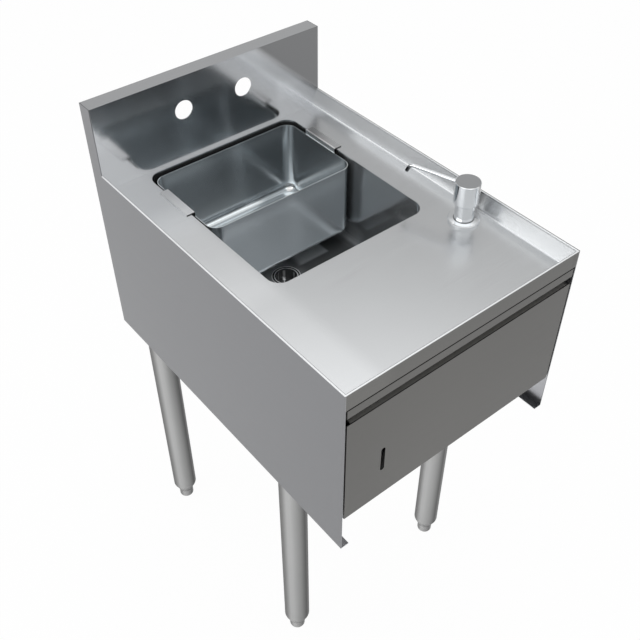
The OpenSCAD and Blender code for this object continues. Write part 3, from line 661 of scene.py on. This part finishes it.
class SINK_OT_bowl_and_pan(bpy.types.Operator):
    """Satin finish on the drawn bowl, the ice pan, its hangers and the drain"""
    bl_idname = "bar_sink.bowl_and_pan"
    bl_label = "Bowl, pan and drain"

    def execute(self, context):
        sheet = context.scene.sink_sheet
        fittings = context.scene.sink_fittings
        self.bowl(sheet)
        self.pan(sheet)
        self.hangers(sheet)
        self.drain(fittings)
        put_on(turned_metal("brass", fittings.brass_colour, 0.28), "drain_locknut", "pump_nut")
        put_on(moulded("rubber", fittings.rubber_colour, 0.55), "drain_gasket", "pump_washer")
        return {"FINISHED"}

    def bowl(self, sheet):
        low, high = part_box("sink_bowl")
        pan_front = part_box("ice_pan")[0].y

        def bowl_tone(finish):
            x, y, z = finish.axes()
            # Painted shade behind the pan near the top and a painted shadow on the floor under the pan,
            # with a painted glint in it; painted highlights along the floor's radius and on the right
            # wall.
            behind_pan_shade = y.above(pan_front + 0.01, 0.02) * z.above(high.z - 0.05, 0.03)
            radius = z.band(low.z + 0.008, 0.002, 0.005)
            right_wall_painted_light = (x.above(high.x - 0.014, 0.006) * y.band(GLINT_FRONT, 0.015, 0.025)
                          * z.band(low.z + 0.028, 0.008, 0.014))
            under_pan_shadow = (x.above(0.0, 0.04) * y.above(pan_front - 0.03, 0.02)
                         * z.below(low.z + 0.006, 0.006))
            glint = (x.above(GLINT_LEFT, 0.014) * x.below(GLINT_RIGHT, 0.006)
                     * y.above(GLINT_FRONT, 0.006))
            return (1.0 - behind_pan_shade * 0.7 + radius * 0.5 + right_wall_painted_light * 0.9
                    - under_pan_shadow * (1.0 - glint) * 0.94 + under_pan_shadow * glint * 0.5)

        def bowl_metal(finish):
            height = finish.axes()[2]
            return height.ramp(low.z + 0.004, low.z + 0.030, 0.55, 0.84)

        put_on(brushed_steel("bowl_steel", sheet.bowl_colour, 0.13, "x", bowl_tone, mottle=0.05,
                             grain=0.02, metallic=bowl_metal), "sink_bowl")

    def pan(self, sheet):
        low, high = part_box("ice_pan")

        def on_front(finish):
            """The pan's outside at the front."""
            return finish.axes()[1].below(low.y + 0.0003, 0.0003)

        def painted_foot_highlight(finish):
            """A painted highlight along the rounded lower edge of the pan's outside."""
            return finish.axes()[2].band(low.z + 0.0045, 0.0015, 0.0025)

        def pan_tone(finish):
            x, y, z = finish.axes()
            # Painted highlight on the rim. Inside, painted light on the floor and in the back right
            # corner and painted shade up the walls; the front outside is lifted with painted light and
            # a painted highlight along its lower edge.
            rim = z.above(high.z - 0.0008, EDGE)
            walls = z.above(low.z + 0.008, 0.012)
            corner = x.above(high.x - 0.016, 0.008) * y.above(high.y - 0.016, 0.008)
            front = on_front(finish)
            inside = 1.46 - walls * 0.84 + corner * 0.45
            outside = 1.12 + painted_foot_highlight(finish) * 0.35
            return (inside * (1.0 - front) + outside * front) * (1.0 - rim) + rim * 1.55

        def pan_metal(finish):
            return 0.90 - on_front(finish) * (0.12 + painted_foot_highlight(finish) * 0.45)

        put_on(brushed_steel("pan_steel", sheet.pan_colour, 0.17, "x", pan_tone, mottle=0.04,
                             grain=0.015, metallic=pan_metal), "ice_pan")

    def hangers(self, sheet):
        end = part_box("pan_hanger_left")[0].y
        bend_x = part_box("pan_hanger_right")[0].x + SHEET

        def hanger_tone(finish):
            x, y, _ = finish.axes()
            # Painted shade on the hangers' front end faces and over the right hanger, painted light and
            # shade from lighter at the front to darker at the back, and a painted highlight along the
            # right hanger's bend.
            right = x.above(0.0, 0.01)
            bend = right * x.band(bend_x, 0.0010, EDGE)
            level = y.ramp(end, end + 0.07, 1.1, 0.85) * (1.0 - right * 0.33) + bend * 0.9
            return y.ramp(end + 0.0001, end + SKIN, 0.05, 1.0) * level

        put_on(brushed_steel("hanger_steel", sheet.hanger_colour, 0.3, "y", hanger_tone,
                             mottle=0.03, grain=0.03), "pan_hanger_left", "pan_hanger_right")

    def drain(self, fittings):
        low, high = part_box("drain_body")
        cup_low, cup_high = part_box("crumb_cup")
        axis = (low + high) / 2
        flange_edge = (high.x - low.x) / 2
        cup_edge = (cup_high.x - cup_low.x) / 2
        seat = high.z - 0.004

        def ring_light(finish):
            """Painted highlights in thin rings: the flange's edge and the cup's rim."""
            reach, height = finish.radius(axis), finish.axes()[2]
            rings = reach.band(flange_edge - 0.0006, 0.0005, 0.0003).highest(
                reach.band(cup_edge - 0.0020, 0.0005, 0.0003))
            return rings * height.above(seat, 0.001)

        def drain_tone(finish):
            return 0.5 + ring_light(finish) * 2.3

        def drain_metal(finish):
            return 0.8 - ring_light(finish) * 0.75

        def drain_thread(finish):
            return thread(finish, 0.0018, low.z, seat - 0.001)

        def cup_tone(finish):
            x, y, z = finish.axes()
            angle = (y - axis.y).maths("ARCTAN2", x - axis.x)
            # Painted reflection streaks round the inside of the cup, and the painted ring highlights.
            streaks = ((angle * 7.0).sine() + (angle * 11.0 + 1.3).sine()).ramp(0.1, 1.6)
            below_rim = z.below(high.z - 0.003, 0.002)
            return 0.6 + streaks * below_rim * 2.4 + ring_light(finish) * 2.2

        def cup_metal(finish):
            return 0.7 - ring_light(finish) * 0.65

        put_on(turned_metal("drain_steel", fittings.drain_colour, 0.2, tone=drain_tone,
                            metallic=drain_metal), "drain_tailpiece", "slip_nut")
        put_on(turned_metal("cup_steel", fittings.drain_colour, 0.25, tone=cup_tone,
                            metallic=cup_metal), "crumb_cup")
        put_on(turned_metal("drain_thread_steel", fittings.drain_colour, 0.22, tone=drain_tone,
                            crown=drain_thread, metallic=drain_metal), "drain_body")


def wound_spring(name, low, high, wire, turns):
    """An open coil of round wire that fills the box from low to high."""
    bpy.ops.object.select_all(action="DESELECT")
    reach = (high.x - low.x - wire) / 2
    bpy.ops.mesh.primitive_circle_add(vertices=12, radius=wire / 2, location=(reach, 0.0, 0.0),
                                      rotation=(math.pi / 2, 0.0, 0.0))
    coil = bpy.context.object
    coil.name = coil.data.name = name
    bpy.ops.object.transform_apply(location=True, rotation=True)
    winding = coil.modifiers.new("winding", "SCREW")
    winding.axis = "Z"
    winding.angle = 2 * math.pi
    winding.screw_offset = (high.z - low.z - wire) / turns
    winding.iterations = turns
    winding.steps = winding.render_steps = 28
    bpy.ops.object.modifier_apply(modifier="winding")
    bpy.ops.object.mode_set(mode="EDIT")
    bpy.ops.mesh.select_all(action="SELECT")
    bpy.ops.mesh.remove_doubles(threshold=0.00001)
    bpy.ops.mesh.fill_holes(sides=12)
    bpy.ops.mesh.normals_make_consistent(inside=False)
    bpy.ops.object.mode_set(mode="OBJECT")
    bpy.ops.object.shade_smooth_by_angle(angle=math.radians(60))
    coil.location = ((low.x + high.x) / 2, (low.y + high.y) / 2, low.z + wire / 2)
    bpy.ops.object.transform_apply(location=True)
    return coil


class SINK_OT_soap_pump(bpy.types.Operator):
    """Winds the pump's spring and gives the soap pump, its works and its bottle their finishes"""
    bl_idname = "bar_sink.soap_pump"
    bl_label = "Soap pump"

    def execute(self, context):
        fittings = context.scene.sink_fittings
        self.chrome(fittings)
        self.spring(fittings)
        put_on(moulded("pump_plastic", fittings.plastic_colour, 0.35), "pump_stem", "pump_bush",
               "pump_cylinder", "dip_tube")
        put_on(moulded("bottle_plastic", fittings.bottle_colour, 0.30), "soap_bottle")
        return {"FINISHED"}

    def chrome(self, fittings):
        cap_low, cap_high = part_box("pump_cap")
        body_low, body_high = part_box("pump_body")
        axis = (cap_low + cap_high) / 2
        cap_edge = (cap_high.x - cap_low.x) / 2
        collar_edge = (body_high.x - body_low.x) / 2
        collar_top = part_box("deck_top")[1].z - RIM_HEIGHT + COLLAR_HEIGHT
        arm_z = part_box("pump_spout")[1].z - ARM_RADIUS

        def chrome_tone(finish):
            height, reach = finish.axes()[2], finish.radius(axis)
            # Painted shade on the cap's top, in thin lines at its skirt and at the neck's foot, under
            # the spout's arm and toward its tip; painted reflection streaks round the cap's side.
            top = height.above(cap_high.z - 0.0003, 0.0002)
            skirt_shade = height.band(cap_low.z, EDGE, EDGE)
            foot = height.band(collar_top, 0.0008, 0.0005) * reach.band(NECK_RADIUS, 0.0009, 0.0005)
            on_arm = reach.above(cap_edge + 0.0005, 0.0015) * height.above(arm_z - 0.018, 0.003)
            under_arm_shade = height.below(arm_z - 0.0016, 0.0014) * on_arm
            tip = height.below(arm_z - 0.0060, 0.0030) * on_arm
            on_cap = height.above(cap_low.z, 0.001) * (1.0 - top) * (1.0 - on_arm)
            level = 1.0 - top * 0.34 - skirt_shade * 0.35 - foot * 0.55 - under_arm_shade * 0.62 - tip * 0.22
            return level * (1.0 - on_cap * (1.0 - painted_tube_reflections(finish, axis, CAP_PAINTED_REFLECTIONS)))

        def collar_tone(finish):
            # The collar has the same painted light and shade as the cap, a little darker.
            return chrome_tone(finish) * 0.94

        def collar_crown(finish):
            """The collar's domed top, and the thread on the shank below it."""
            height, reach = finish.axes()[2], finish.radius(axis)
            on_collar = height.band(collar_top, 0.0012, SKIN)
            shank = thread(finish, 0.0015, body_low.z, collar_top - 0.006)
            return reach.lowest(collar_edge) * on_collar * -0.12 + shank

        put_on(turned_metal("chrome", fittings.chrome_colour, 0.08, depth=0.0, mottle=0.01,
                            tone=chrome_tone), "pump_cap", "pump_spout")
        put_on(turned_metal("collar_chrome", fittings.chrome_colour, 0.10, depth=0.0, mottle=0.01,
                            tone=collar_tone, crown=collar_crown), "pump_body")

    def spring(self, fittings):
        """A real coil in place of the plain tube, squeezed between the unit and the plunger."""
        low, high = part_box("pump_spring")
        wire = fittings.spring_wire
        coil = wound_spring("pump_spring_coil", low, high, wire, fittings.spring_turns)
        coil.data.materials.append(turned_metal("spring_wire", fittings.steel_colour, 0.3,
                                                depth=0.0))
        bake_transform(coil)
        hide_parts("pump_spring")


class SINK_OT_legs_and_feet(bpy.types.Operator):
    """Tube finish on the legs and a plain metal finish on the feet, sockets and fasteners"""
    bl_idname = "bar_sink.legs_and_feet"
    bl_label = "Legs and feet"

    def execute(self, context):
        fittings = context.scene.sink_fittings
        for name in [n for n in NODES if n.endswith("_leg")]:
            self.leg_and_foot(fittings, name, name.replace("_leg", "_foot"))
        cast = turned_metal("cast_metal", fittings.cast_colour, 0.45, depth=0.0, mottle=0.12)
        put_on(cast, *(n for n in NODES if n.endswith("_socket")))
        put_on(turned_metal("fastener_steel", fittings.steel_colour, 0.3), "socket_bolts",
               "door_hinge_pins")
        put_on(turned_metal("black_screw", fittings.screw_colour, 0.4), "socket_set_screws")
        put_on(moulded("magnet_black", fittings.magnet_colour, 0.4), "door_magnets")
        return {"FINISHED"}

    def leg_and_foot(self, fittings, leg, foot):
        low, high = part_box(leg)
        foot_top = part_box(foot)[1].z
        axis = (low + high) / 2
        light = LEFT_LEG_PAINTED_LIGHT if axis.x < 0 else RIGHT_LEG_PAINTED_LIGHT

        def leg_tone(finish):
            # Painted reflection streaks, with painted light on the right legs and painted shade on the
            # left.
            return painted_tube_reflections(finish, axis, TUBE_PAINTED_REFLECTIONS) * light

        def foot_tone(finish):
            # Painted shade in the crease where the foot meets the leg tube.
            crease = finish.axes()[2].band(low.z, 0.0022, 0.0012)
            return leg_tone(finish) * (1.0 - crease * 0.45)

        def foot_thread(finish):
            return thread(finish, 0.002, low.z, foot_top)

        put_on(brushed_steel(leg + "_tube", fittings.leg_colour, 0.30, "z", leg_tone, mottle=0.03,
                             grain=0.03, metallic=0.45, **LOW_GLARE), leg)
        put_on(turned_metal(foot + "_metal", fittings.foot_colour, 0.28, tone=foot_tone,
                            crown=foot_thread), foot)


STEPS = (SINK_OT_stage, SINK_OT_sheet_metal, SINK_OT_bowl_and_pan, SINK_OT_soap_pump,
         SINK_OT_legs_and_feet)


class SINK_PT_panel(bpy.types.Panel):
    """Sizes, colours and pieces of the bar sink"""
    bl_idname = "SINK_PT_panel"
    bl_label = "Bar Sink"
    bl_space_type = "VIEW_3D"
    bl_region_type = "UI"
    bl_category = "Bar Sink"

    def draw(self, context):
        for group in (context.scene.sink_studio, context.scene.sink_sheet, context.scene.sink_fittings):
            box = self.layout.box()
            for name in group.bl_rna.properties.keys():
                if name not in ("rna_type", "name"):
                    box.prop(group, name)
        for step in STEPS:
            self.layout.operator(step.bl_idname)


CLASSES = (SheetFinish, FittingFinish, Studio) + STEPS + (SINK_PT_panel,)


def register():
    for cls in CLASSES:
        bpy.utils.register_class(cls)
    bpy.types.Scene.sink_sheet = PointerProperty(type=SheetFinish)
    bpy.types.Scene.sink_fittings = PointerProperty(type=FittingFinish)
    bpy.types.Scene.sink_studio = PointerProperty(type=Studio)


def unregister():
    for name in ("sink_sheet", "sink_fittings", "sink_studio"):
        delattr(bpy.types.Scene, name)
    for cls in reversed(CLASSES):
        bpy.utils.unregister_class(cls)


def main():
    register()
    for step in STEPS:
        family, name = step.bl_idname.split(".")
        getattr(getattr(bpy.ops, family), name)()


if __name__ == "__main__":
    main()
